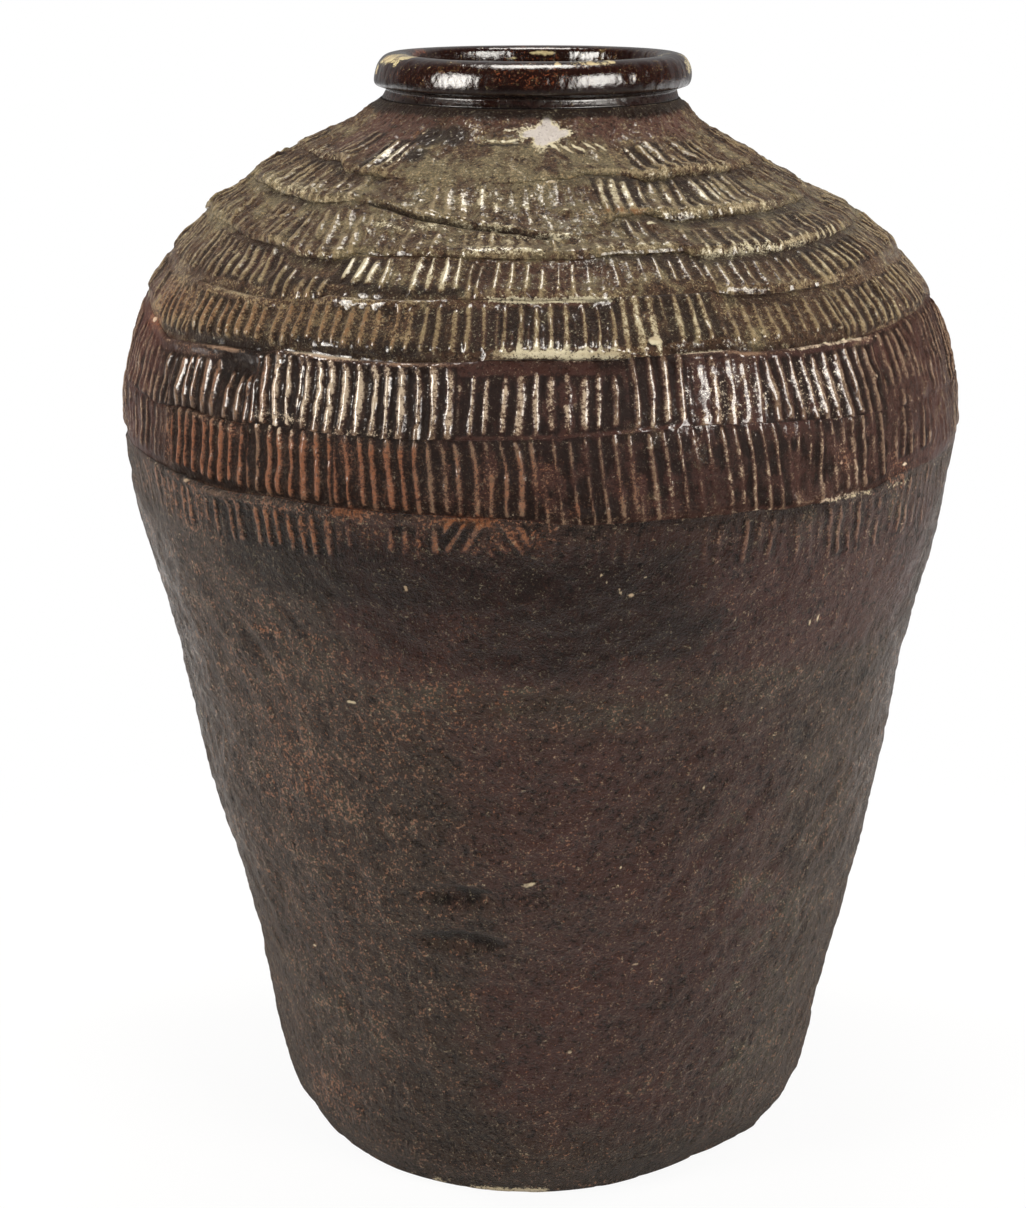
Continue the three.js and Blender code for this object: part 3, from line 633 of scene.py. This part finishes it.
def buildRing(name, finish):
    # a ring's section is a closed loop: up the outside, in over the top bed, down the inside, out under the foot; the
    # outside is the wall line plus the body's relief, the grain, the ribs, the swell and the laps
    columns, step, node, slot = rings[name]
    above = [*rings, "neck"][list(rings).index(name) + 1]
    angle = anglesRound(columns)
    foot, footLap = seamAt(name, angle)
    top, topLap = seamAt(above, angle)
    foot, top = foot + jar["gap"], top - jar["gap"]

    middle = float(np.mean(foot + top) / 2)
    length = float(np.mean(top - foot)) * float(stretchAt(middle))
    lipRows = laps["lipRows"] if name in seams else [0, 1.6]
    shelfRows = laps["shelfRows"] if above in seams else [1.6, 0]
    inner = np.arange(lipRows[-1] + step, length - shelfRows[0] - step * .4, step)
    share = np.concatenate([lipRows, inner, length - np.array(shelfRows)]) / length

    a = np.broadcast_to(angle, (len(share), columns))
    z = foot + share[:, None] * (top - foot)
    stretch = stretchAt(z)
    fromFoot, fromTop = (z - foot) * stretch, (top - z) * stretch
    setIn, where = jar["setIn"]
    out = bodyRelief(a, z) - setIn * within(z, *where)
    glazed = smooth(z, *jar["glazeFrom"])
    around, tall, deep = jar["stoneGrain"]
    out = out + deep * cloud(a, z, around, tall, 16) * (1 - glazed) * smooth(z, 3, 9)
    if name in seams or name == "wallRing5":
        around, tall, deep = jar["glazeGrain"]
        out = out + deep * cloud(a, z, around, tall, 15) * glazed
    crest, groove, nookShade, edge = np.zeros((4, *a.shape))
    if name in ribs:
        height, relief, groove, crest = ribField(name, a, z, foot, top, footLap)
        out = out + height * relief
    if name.startswith("shoulderRing"):
        out = out + jar["swell"] * np.sin(np.clip(fromFoot / (fromFoot + fromTop), 0, 1) * 2 * math.pi)
    if name in seams:  # this ring's lap, or its foot tucked in behind the ring below
        lip = np.interp(fromFoot / laps["height"], *np.array(laps["lip"]).T)
        out = out + np.where(footLap > 0, footLap * lip, .75 * footLap * (1 - smooth(fromFoot, 0, 6)))
        # a painted highlight along the lap's edge
        edge = np.clip(footLap / 1.4, 0, 1) * np.exp(-((fromFoot - 1.9) / 1.4) ** 2)
        tuck = np.clip(-footLap / 1.5, 0, 1)
        # painted shade on the foot tucked in behind the ring below, and under the lip
        nookShade = nookShade + .8 * tuck * (1 - smooth(fromFoot, 1, 5))
        nookShade = nookShade + .7 * np.clip(footLap / 2, 0, 1) * (1 - smooth(fromFoot, .1, 1))
    cleft, inside = crackAt(a, z)
    if above in seams:  # this ring's top, proud of the ring above or set back under its lap
        shelf = np.interp(fromTop, *np.array(laps["shelf"]).T)
        out = out + np.where(topLap < 0, -topLap * shelf, -.7 * topLap * (1 - smooth(fromTop, -2, 9)))
        # a painted highlight along the shelf's top edge
        edge = edge + np.clip(-topLap / 1.4, 0, 1) * np.exp(-((fromTop - 1.3) / 1.3) ** 2)
        # painted shade under the lap of the ring above
        nookShade = nookShade + 1.1 * np.clip(topLap / 1.2, 0, 1) * (1 - smooth(fromTop, .8, 8)) * (1 - inside)
    # painted shade in the crack
    nookShade = nookShade + 2 * inside * np.exp(-(cleft / .75) ** 2)
    # a painted highlight along the crack's upper lip
    edge = edge + .9 * inside * np.exp(-((cleft - 2.2) / 1.2) ** 2)

    wall, bore = jar["wall"], jar["bore"]
    insideShare = np.linspace(1, 0, 2 + max(2, int(length / 8)))[:, None]
    insideZ = foot + insideShare * (top - foot)
    around, tall, deep = jar["insideLumps"]
    insideOut = -wall + deep * cloud(angle, insideZ, around, tall, 50)
    levelFoot, levelTop = name == "heelRing", name == "crown"  # the beds on the slab and under the neck
    if levelFoot:
        insideOut[-1] = -wall
    if levelTop:
        insideOut[0] = bore - float(radiusAt(float(np.mean(top))))

    bed = np.array(jar["bed"])[:, None] + 0 * angle
    seen = len(share)
    z = np.concatenate([z, top + 0 * bed, insideZ, foot + 0 * bed])
    out = np.concatenate([out, bed, insideOut, bed[::-1]])
    a = np.broadcast_to(angle, z.shape)
    level = np.zeros((len(z), 1))
    level[seen:seen + 3], level[-3:] = levelTop, levelFoot
    points = place(a, z, out, level, bore)
    hidden = np.zeros((len(z) - seen, columns))
    crest, groove, nookShade, edge = (np.concatenate([np.clip(x, 0, 1), hidden]) for x in (crest, groove, nookShade, edge))
    fields = paintFields(a, z, np.arange(len(z))[:, None] < seen, crest, groove, nookShade, edge)
    corners = [0, seen - 1, seen + 2, seen + 1 + len(insideZ)]
    addMesh(name, points, loopQuads(len(z), columns), corners, fields, finish, node)


slab = {
    "columns": 1536,
    "inner": [4, 30, 60, 85, 100, 108],  # radii of the rows underneath
    "edge": [0, .4, 1, 2, 3.4, 5, 7, 9, 11, 13, 14.6, 16],  # heights of those up the edge
    "chips": 1.17,
    "bevel": 1.2,
}


def buildSlab(finish):
    # rings of points from the middle of the underside out to the edge, up it, and in over the top to the middle; the
    # edge is the wall line plus the body's relief, less chips from noise and a bevel at the foot
    columns = slab["columns"]
    angle = anglesRound(columns)
    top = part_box("base_slab")[1].z * 1000
    edgeZ = np.array(slab["edge"], float)[:, None] * top / slab["edge"][-1] + 0 * angle
    a = np.broadcast_to(angle, edgeZ.shape)
    chips = np.maximum(0, cloud(a, edgeZ * 0, 130, 9, 90) - .25) * (1 - smooth(edgeZ, 1, 5))
    bevel = (1 - smooth(edgeZ, 0, 1.2)) ** 2
    edgeOut = bodyRelief(a, edgeZ) - slab["chips"] * chips - slab["bevel"] * bevel
    edge = place(a, edgeZ, edgeOut, True)
    middle = edge.mean((0, 1))

    def inward(row, z):
        # the edge's own outline shrunk towards the middle
        share = np.array(slab["inner"])[:, None, None] / jar["radius"][0][1]
        points = middle + (row - middle) * share
        points[..., 2] = z
        return points

    under = inward(edge[0], 0)
    over = inward(edge[-1], top / 1000)[::-1]
    points = np.concatenate([under, edge, over])
    rows = len(points)
    z = np.broadcast_to(points[..., 2] * 1000, (rows, columns))
    allA = np.broadcast_to(angle, z.shape)
    outer = np.concatenate([np.zeros(len(under)), np.ones(len(edge)), np.zeros(len(over))])[:, None]
    worn = np.zeros(z.shape)
    worn[:len(under)] = 1
    worn[len(under):len(under) + len(edge)] = (1 - smooth(edgeZ, 2, 4.6)) * smooth(
        1.2 * np.exp(-((a + 10) / 14) ** 4) + .7 * cloud(a, edgeZ, 60, 5, 91), .4, 1)
    fields = paintFields(allA, z, outer)
    fields["frothAndHighlight"] = np.maximum(fields["frothAndHighlight"], worn)
    quads = loopQuads(rows, columns, closed=False)
    addMesh("slab", points, quads, [len(under), len(under) + len(edge) - 1], fields, finish,
            "base_slab", capped=True)


collars = {
    # wobble, melt and dip are mm: of the whole section, of its skin, and of the top behind
    "neck": {"columns": 768, "node": "neck_ring", "wobble": .25, "melt": .08, "dip": 0, "section": [
        (56, 0), (60, 0), (64, 0), (66.6, 0), (66.5, .12), (66.1, .28), (65.8, .45), (65.5, .6), (65.4, .75),
        (65.9, .9), (66.4, 1), (63, 1), (59, 1), (56, 1), (55.8, .6), (55.8, .3)]},
    "rim": {"columns": 1024, "node": "rim_roll", "wobble": .35, "melt": .16, "dip": .9, "section": [
        (66.8, 0), (68.6, .01), (70, .035), (70.8, .09), (71.1, .17), (71.2, .28), (71.1, .4), (70.8, .52),
        (70.3, .64), (69.5, .75), (68.4, .85), (67, .925), (65.2, .975), (63, 1), (60.5, 1), (58.6, .985),
        (57.3, .95), (56.3, .89), (55.8, .78), (55.6, .6), (55.7, .35), (56, .12), (56.2, 0), (59, 0), (63, 0)]},
}


def buildCollar(name, finish):
    # a closed section of (radius, share of the height) as a smooth loop, carried round the jar with a slight wobble;
    # the rim's top sags a little behind
    spec = collars[name]
    low, high = (corner.z * 1000 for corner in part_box(spec["node"]))
    section = np.array(spec["section"])
    loop = np.vstack([section[-3:], section, section[:3]])
    at = np.arange(len(loop)) - 3
    s = np.arange(0, len(section), .5)
    radius = curve(list(zip(at, loop[:, 0])), s)[:, None]
    z = low + np.clip(curve(list(zip(at, loop[:, 1])), s), 0, 1)[:, None] * (high - low)
    angle = anglesRound(spec["columns"])
    a, z = np.broadcast_to(angle, (len(s), len(angle))), z + 0 * angle
    soft = within(z, low, high, 1.5, .6)
    radius = radius + spec["wobble"] * (cloud(a, z, 9, 30, 55) + .5 * cloud(a, z, 26, 8, 56) * soft)
    along = s[:, None] * 1.1 + 0 * angle
    radius = radius + spec["melt"] * soft * (cloud(a, along, 100, 5, 58) + .6 * cloud(a, along, 230, 2.4, 59))
    turn = np.radians(a)
    sag = spec["dip"] * (np.exp(-((a % 360 - 180) / 55) ** 2) + .25 * (1 + cloud(a, 0 * z, 11, 9, 57)))
    z = z - sag * (z - low) / (high - low)
    side = curve(jar["lean"], z)
    points = np.stack([radius * np.sin(turn) + side, -radius * np.cos(turn), z], -1) / 1000
    outer = np.maximum(smooth(radius, 57.5, 59.5), smooth(z, 486, 492))
    fields = paintFields(a, z, outer)
    addMesh(name, points, loopQuads(len(s), len(angle)), [0], fields, finish, spec["node"])


class Wire:
    # a socket that takes part in sums: each sum adds its Math node
    def __init__(self, paint, socket):
        self.paint, self.socket = paint, socket

    def sum(self, operation, *values):
        return self.paint.node("Math", {"operation": operation}, dict(enumerate(values)))

    def __add__(self, other):
        return self.sum("ADD", self, other)

    def __sub__(self, other):
        return self.sum("SUBTRACT", self, other)

    def __rsub__(self, other):
        return self.sum("SUBTRACT", other, self)

    def __mul__(self, other):
        return self.sum("MULTIPLY", self, other)

    __radd__, __rmul__ = __add__, __mul__

    def most(self, other):
        return self.sum("MAXIMUM", self, other)

    def rise(self, low, high):
        # 0 below low, 1 above high
        return self.paint.node("MapRange", {"interpolation_type": "SMOOTHSTEP"},
                               {"Value": self, "From Min": low, "From Max": high})


class Paint:
    # the nodes of one material, or of the world
    def __init__(self, owner):
        owner.use_nodes = True
        self.owner, self.tree, self.object = owner, owner.node_tree, None
        self.tree.nodes.clear()

    def node(self, kind, settings=None, values=None, out=0):
        node = self.tree.nodes.new("ShaderNode" + kind)
        for key, value in (settings or {}).items():
            setattr(node, key, value)
        for key, value in (values or {}).items():
            found = [s for s in node.inputs if s.identifier == key] or [s for s in node.inputs if s.name == key]
            socket = node.inputs[key] if isinstance(key, int) else found[0]
            if isinstance(value, Wire):
                self.tree.links.new(value.socket, socket)
            else:
                socket.default_value = value
        return Wire(self, node.outputs[out])

    def place(self):
        if self.object is None:
            self.object = self.node("TexCoord", out="Object")
        return self.object

    def field(self, name):
        return self.node("Attribute", {"attribute_name": name}, out="Fac")

    def noise(self, scale, detail, rough, twist=0):
        # values round 0
        return self.node("TexNoise", {}, {"Vector": self.place(), "Scale": scale, "Detail": detail,
                                          "Roughness": rough, "Distortion": twist}) - .5

    def mix(self, first, second, share):
        return self.node("Mix", {"data_type": "RGBA"},
                         {"A_Color": first, "B_Color": second, "Factor_Float": share}, 2)

    def blend(self, first, second, share):
        return self.node("MixShader", {}, {0: share, 1: first, 2: second})

    def rays(self, kind):
        return self.node("LightPath", out=kind)

    def finish(self, kind, shader):
        output = self.tree.nodes.new("ShaderNodeOutput" + kind)
        self.tree.links.new(shader.socket, output.inputs["Surface"])
        return self.owner


def tint(red, green, blue):
    # a colour from its 0-255 screen values
    return tuple(((c / 255 + .055) / 1.055) ** 2.4 if c > 10 else c / 255 / 12.92 for c in (red, green, blue)) + (1,)


finishes = {
    # deep is for grooves and for the painted shade of the nooks, worn for the ribs' crests, lip for the painted
    # highlight on the laps' edges, cream for pale crests that are partly a painted highlight; grain and pits are the
    # bump, gloss what shine takes off the roughness, sheen the plain reflection, specks their fineness, litter more
    # light ones, veil a dusty look at the edges, and bands how much the streaks count
    "slippedClay": {
        "ground": tint(54, 42, 35), "deep": tint(15, 8, 6), "wine": tint(61, 38, 34), "ash": tint(57, 51, 42),
        "worn": tint(126, 94, 76), "rust": tint(138, 84, 50), "cream": tint(206, 190, 158),
        "lip": tint(110, 88, 72), "dust": .25, "grain": 1.3, "pits": 1.3, "rough": .55, "gloss": .14,
        "coat": .3, "sheen": .05, "speckle": .9, "specks": 700, "litter": 0, "veil": .12, "bands": .8},
    "rimGlaze": {
        "ground": tint(32, 14, 10), "deep": tint(12, 5, 4), "wine": tint(64, 26, 18), "ash": tint(96, 80, 50),
        "worn": tint(92, 56, 38), "rust": tint(126, 66, 38), "cream": tint(214, 198, 150),
        "lip": tint(120, 96, 60), "dust": .1, "grain": .06, "pits": .22, "rough": .34, "gloss": .24,
        "coat": .25, "sheen": 1, "speckle": .4, "specks": 700, "litter": 0, "veil": 0, "bands": .4},
    "brownGlaze": {
        "ground": tint(51, 32, 26), "deep": tint(17, 9, 6), "wine": tint(65, 38, 33), "ash": tint(78, 66, 48),
        "worn": tint(120, 98, 78), "rust": tint(124, 70, 42), "cream": tint(196, 178, 154),
        "lip": tint(140, 112, 90), "dust": .1, "grain": .25, "pits": .7, "rough": .5, "gloss": .2, "coat": 1,
        "sheen": .15, "speckle": .6, "specks": 1000, "litter": .02, "veil": 0, "bands": .4},
    "ashGlaze": {
        "ground": tint(70, 49, 34), "deep": tint(24, 14, 9), "wine": tint(76, 50, 41), "ash": tint(94, 84, 62),
        "worn": tint(142, 124, 92), "rust": tint(120, 74, 38), "cream": tint(204, 194, 164),
        "lip": tint(150, 134, 104), "dust": .35, "grain": .45, "pits": .9, "rough": .56, "gloss": .2,
        "coat": .9, "sheen": .13, "speckle": .85, "specks": 950, "litter": .03, "veil": .05, "bands": .5},
}


grains = {"fine": (720, 3, .6), "grit": (860, 4, .8), "grain": (310, 3, .62, .4), "blotch": (75, 4, .62, .3),
          "drift": (16, 3, .55)}  # scale, detail, roughness, twist


def makeFinish(name):
    # ground by slip, wine-brown or ash; ribs worn light on their crests, some to rust or cream, the cream partly a
    # painted highlight; grooves dark, painted shade in the nooks and a painted highlight on the laps' edges. Every
    # share is a smooth step of a field plus noise, which frays its edge
    look = finishes[name]
    paint = Paint(bpy.data.materials.new(name))
    fine, grit, grain, blotch, drift = (paint.noise(*grains[key]) for key in grains)
    crest, groove, nookShade, inside = (paint.field(key) for key in ("crest", "groove", "nookShade", "inside"))

    wine, rust, frothAndHighlight = paint.field("wine"), paint.field("rust"), paint.field("frothAndHighlight")
    streak = paint.field("streak") * look["bands"]
    frayed = grit * 2.6 + grain * 1.2 + blotch * .6
    ash = paint.field("ash") * .8 * (1 - groove * .85) + blotch * 2.6 + grain * 1.5 + drift * .8
    ash = (ash + streak * .35).rise(.3, 1)
    stone = paint.noise(look["specks"] * .72, 4, .72)
    light = paint.noise(look["specks"], 3, .66)
    dim = (stone + blotch * .3 + grain * .35 + drift * .15 + streak * .03).rise(-.025, -.125)
    lit = light + look["litter"] + rust.rise(0, .5) * .06 - wine * .05 + blotch * .3 + grain * .2 + drift * .08
    worn = (crest + grit * 2.6 + grain * .8 + blotch * .8).rise(.45, 1.05)
    rustSpeck = (light + rust * .2 + drift * .2 - paint.field("shine") * .05).rise(.12, .26)
    rustCrest = rust * (crest + .12) + rust.rise(.8, 1) * .5 + blotch * .8 + grit * 2.4 + grain * .6
    rustTone = paint.mix(look["rust"], look["ground"], fine.rise(.02, -.14) * .7)
    # grey-white of the painted highlight where the froth is strongest, on the crown's splash and the lips
    white = paint.mix(look["cream"], tint(196, 188, 182), frothAndHighlight.rise(.9, 1.2))
    dust = grit + grain * .3
    # colour of the light chips, and of the painted reflection inside the mouth
    chipAndReflection = paint.mix(look["cream"], look["rust"], blotch.rise(-.04, .12) * .45)

    colour = look["ground"]
    for tone, share in (
        (look["wine"], (wine + drift * .9 + blotch * .6).rise(.15, .95)),
        (look["ash"], ash),
        (look["deep"], dim * look["speckle"]),  # specks
        (look["worn"], (lit + streak * .05).rise(.1, .17) * look["speckle"]),
        (look["worn"], worn * .75),  # worn crests
        (look["rust"], rustSpeck * .45),
        (rustTone, rustCrest.rise(.34, .9) * .7),
        # pale crests, partly a painted highlight on the ribs and the lips
        (look["cream"], (paint.field("pale") * (crest * .9 + .1) + frayed).rise(.45, .95) * .66),
        (look["deep"], (groove + grit * 1.2).rise(.2, .9) * .8),
        # whitish glaze, with the painted highlight on the crown and the lips
        (white, (frothAndHighlight + frayed).rise(.45, .9) * .85),
        (look["deep"], (paint.field("black") * (1 - crest * .7) + blotch * .6 + grit * .8).rise(.3, .8) * .85),
        # painted shade in the nooks
        (look["deep"], nookShade * (.7 - grit * .6)),
        # painted highlight on the laps' edges
        (look["lip"], (paint.field("edge") + grit * 2 + blotch * .6).rise(.35, .95) * .7),
        (look["cream"], dust.rise(.085, .17) * look["dust"]),
        (look["deep"], dust.rise(-.06, -.14) * look["dust"]),
        (chipAndReflection, (paint.field("fleck") + grain * 1.4).rise(.45, 1) * .9),
        (look["deep"], inside * .7),
    ):
        colour = paint.mix(colour, tone, share)

    shine = paint.field("shine") + drift * .3 + crest * .3 - ash * .15 - groove * .4
    shine = (shine - inside * .7).rise(0, 1)
    rough = look["rough"] + grain * .25 - shine * look["gloss"] + inside * .35
    broken = (shine + blotch * 1.4 + grit * 2.2 + grain * 1.2).rise(.35, .95)
    bump = (grain * .5 + blotch * 1.6) * look["pits"] + (fine * .6 + grit * .9) * look["grain"]
    normal = paint.node("Bump", {}, {"Height": bump, "Strength": .9, "Distance": .0016})
    glaze = paint.node("BsdfPrincipled", {}, {
        "Normal": normal, "Base Color": colour, "Roughness": rough, "Coat Weight": broken * look["coat"],
        "Coat Roughness": .1, "Coat IOR": 1.75, "IOR": 1.5, "Specular IOR Level": look["sheen"],
        "Sheen Weight": look["veil"], "Sheen Roughness": .45})
    return paint.finish("Material", glaze)


skins = {name: makeFinish(name) for name in finishes}
print("finishes mixed")

slotFinish = {"slipped_clay": "slippedClay", "brown_glaze": "brownGlaze", "ash_glaze": "ashGlaze"}
buildSlab(skins["slippedClay"])
for name in rings:
    buildRing(name, skins[slotFinish[rings[name][3]]])
    print("built", name)
for name in collars:
    buildCollar(name, skins["rimGlaze"])

studio = {
    # metres, degrees and watts
    "floor": 6,
    "floorColour": (.8, .8, .79, 1),
    "shadeColour": (.06, .05, .05, 1),
    "lampColour": (1, .96, .9),
    "air": .3,  # strength of the world's light
    # angle, height, distance, width and height, power
    "lamps": {"leftLamp": (-57, .86, 1.75, (.6, .95), 22), "rightLamp": (47, .86, 1.75, (1.05, .95), 27),
              "leftEdgeLamp": (-108, .6, 1.5, (.4, 1.2), 22), "rightEdgeLamp": (108, .6, 1.5, (.4, 1.2), 22),
              "topLamp": (180, 1.75, .12, (.7, .7), 13)},
}


def buildFloor():
    # a flat square sheet under the jar; mirrored in the jar it is white behind and in shade in front
    half, count = studio["floor"] / 2, 9
    side = np.linspace(-half, half, count)
    x, y = np.meshgrid(side, side)
    points = np.stack([x, y, 0 * x], -1).reshape(-1, 3)
    c = np.arange(count - 1)
    first = (c[:, None] * count + c).ravel()
    mesh = bpy.data.meshes.new("floor")
    mesh.from_pydata(points, [], np.stack([first, first + 1, first + count + 1, first + count], -1))
    paint = Paint(bpy.data.materials.new("floorPaper"))
    glossy = paint.rays("Is Glossy Ray")
    behind = paint.node("SeparateXYZ", {}, {"Vector": paint.place()}, "Y").rise(0, .5)
    seen = paint.rays("Is Camera Ray").most(glossy * behind).most(paint.rays("Is Transmission Ray"))
    away = paint.node("VectorMath", {"operation": "LENGTH"}, {0: paint.place()}, "Value")
    paper = paint.node("BsdfDiffuse", {}, {"Color": studio["floorColour"]})
    white = paint.node("Emission", {}, {"Color": (1, 1, 1, 1), "Strength": 1})
    shade = paint.node("BsdfDiffuse", {}, {"Color": studio["shadeColour"]})
    sheet = paint.blend(paper, white, seen * (away.rise(.2, .6) * .09 + .91))
    sheet = paint.blend(sheet, shade, glossy * (1 - behind) * .9)
    mesh.materials.append(paint.finish("Material", sheet))
    addObject("floor", mesh)


def lightWorld():
    # dim air that lights the jar, dimmer still to a mirrored ray, white where the camera looks past the jar, and a
    # quarter white to a mirrored ray that goes back
    world = bpy.data.worlds.new("studioAir")
    bpy.context.scene.world = world
    paint = Paint(world)
    glossy = paint.rays("Is Glossy Ray").most(paint.rays("Is Transmission Ray"))
    way = paint.node("TexCoord", out="Generated")
    behind = paint.node("SeparateXYZ", {}, {"Vector": way}, "Y").rise(.1, .95)
    dark, air, white = (paint.node("Background", {}, {"Color": (1, 1, 1, 1), "Strength": strength})
                        for strength in (0, studio["air"], 1))
    sky = paint.blend(air, dark, glossy * .93)
    sky = paint.blend(sky, white, paint.rays("Is Camera Ray").most(glossy * behind * .25))
    paint.finish("World", sky)


def addLamp(name, angle, height, away, size, power):
    turn = math.radians(angle)
    spot = away * math.sin(turn), -away * math.cos(turn), height
    lamp = bpy.data.lights.new(name, "AREA")
    lamp.shape, lamp.size, lamp.size_y, lamp.energy = "RECTANGLE", size[0], size[1], power
    lamp.color = studio["lampColour"]
    holder = addObject(name, lamp)
    holder.location = spot
    aim = np.array([0, 0, .3]) - np.array(spot)
    holder.rotation_euler = (math.atan2(math.hypot(aim[0], aim[1]), -aim[2]), 0, math.atan2(-aim[0], aim[1]))
    holder.visible_glossy = "Edge" not in name  # the edge lamps leave no reflection in the glaze


buildFloor()
lightWorld()
for name, lamp in studio["lamps"].items():
    addLamp(name, *lamp)

view = {"place": (0, -1.23654, .58185), "turn": (74.81, 0, .572), "lens": 80.61, "sensor": 36}  # metres, degrees, mm
camera = bpy.data.cameras.new("camera")
camera.lens, camera.sensor_width = view["lens"], view["sensor"]
holder = addObject("camera", camera)
holder.location = view["place"]
holder.rotation_euler = [math.radians(x) for x in view["turn"]]
bpy.context.scene.camera = holder
bpy.context.scene.view_settings.view_transform = "Standard"
print("lamps and camera set")
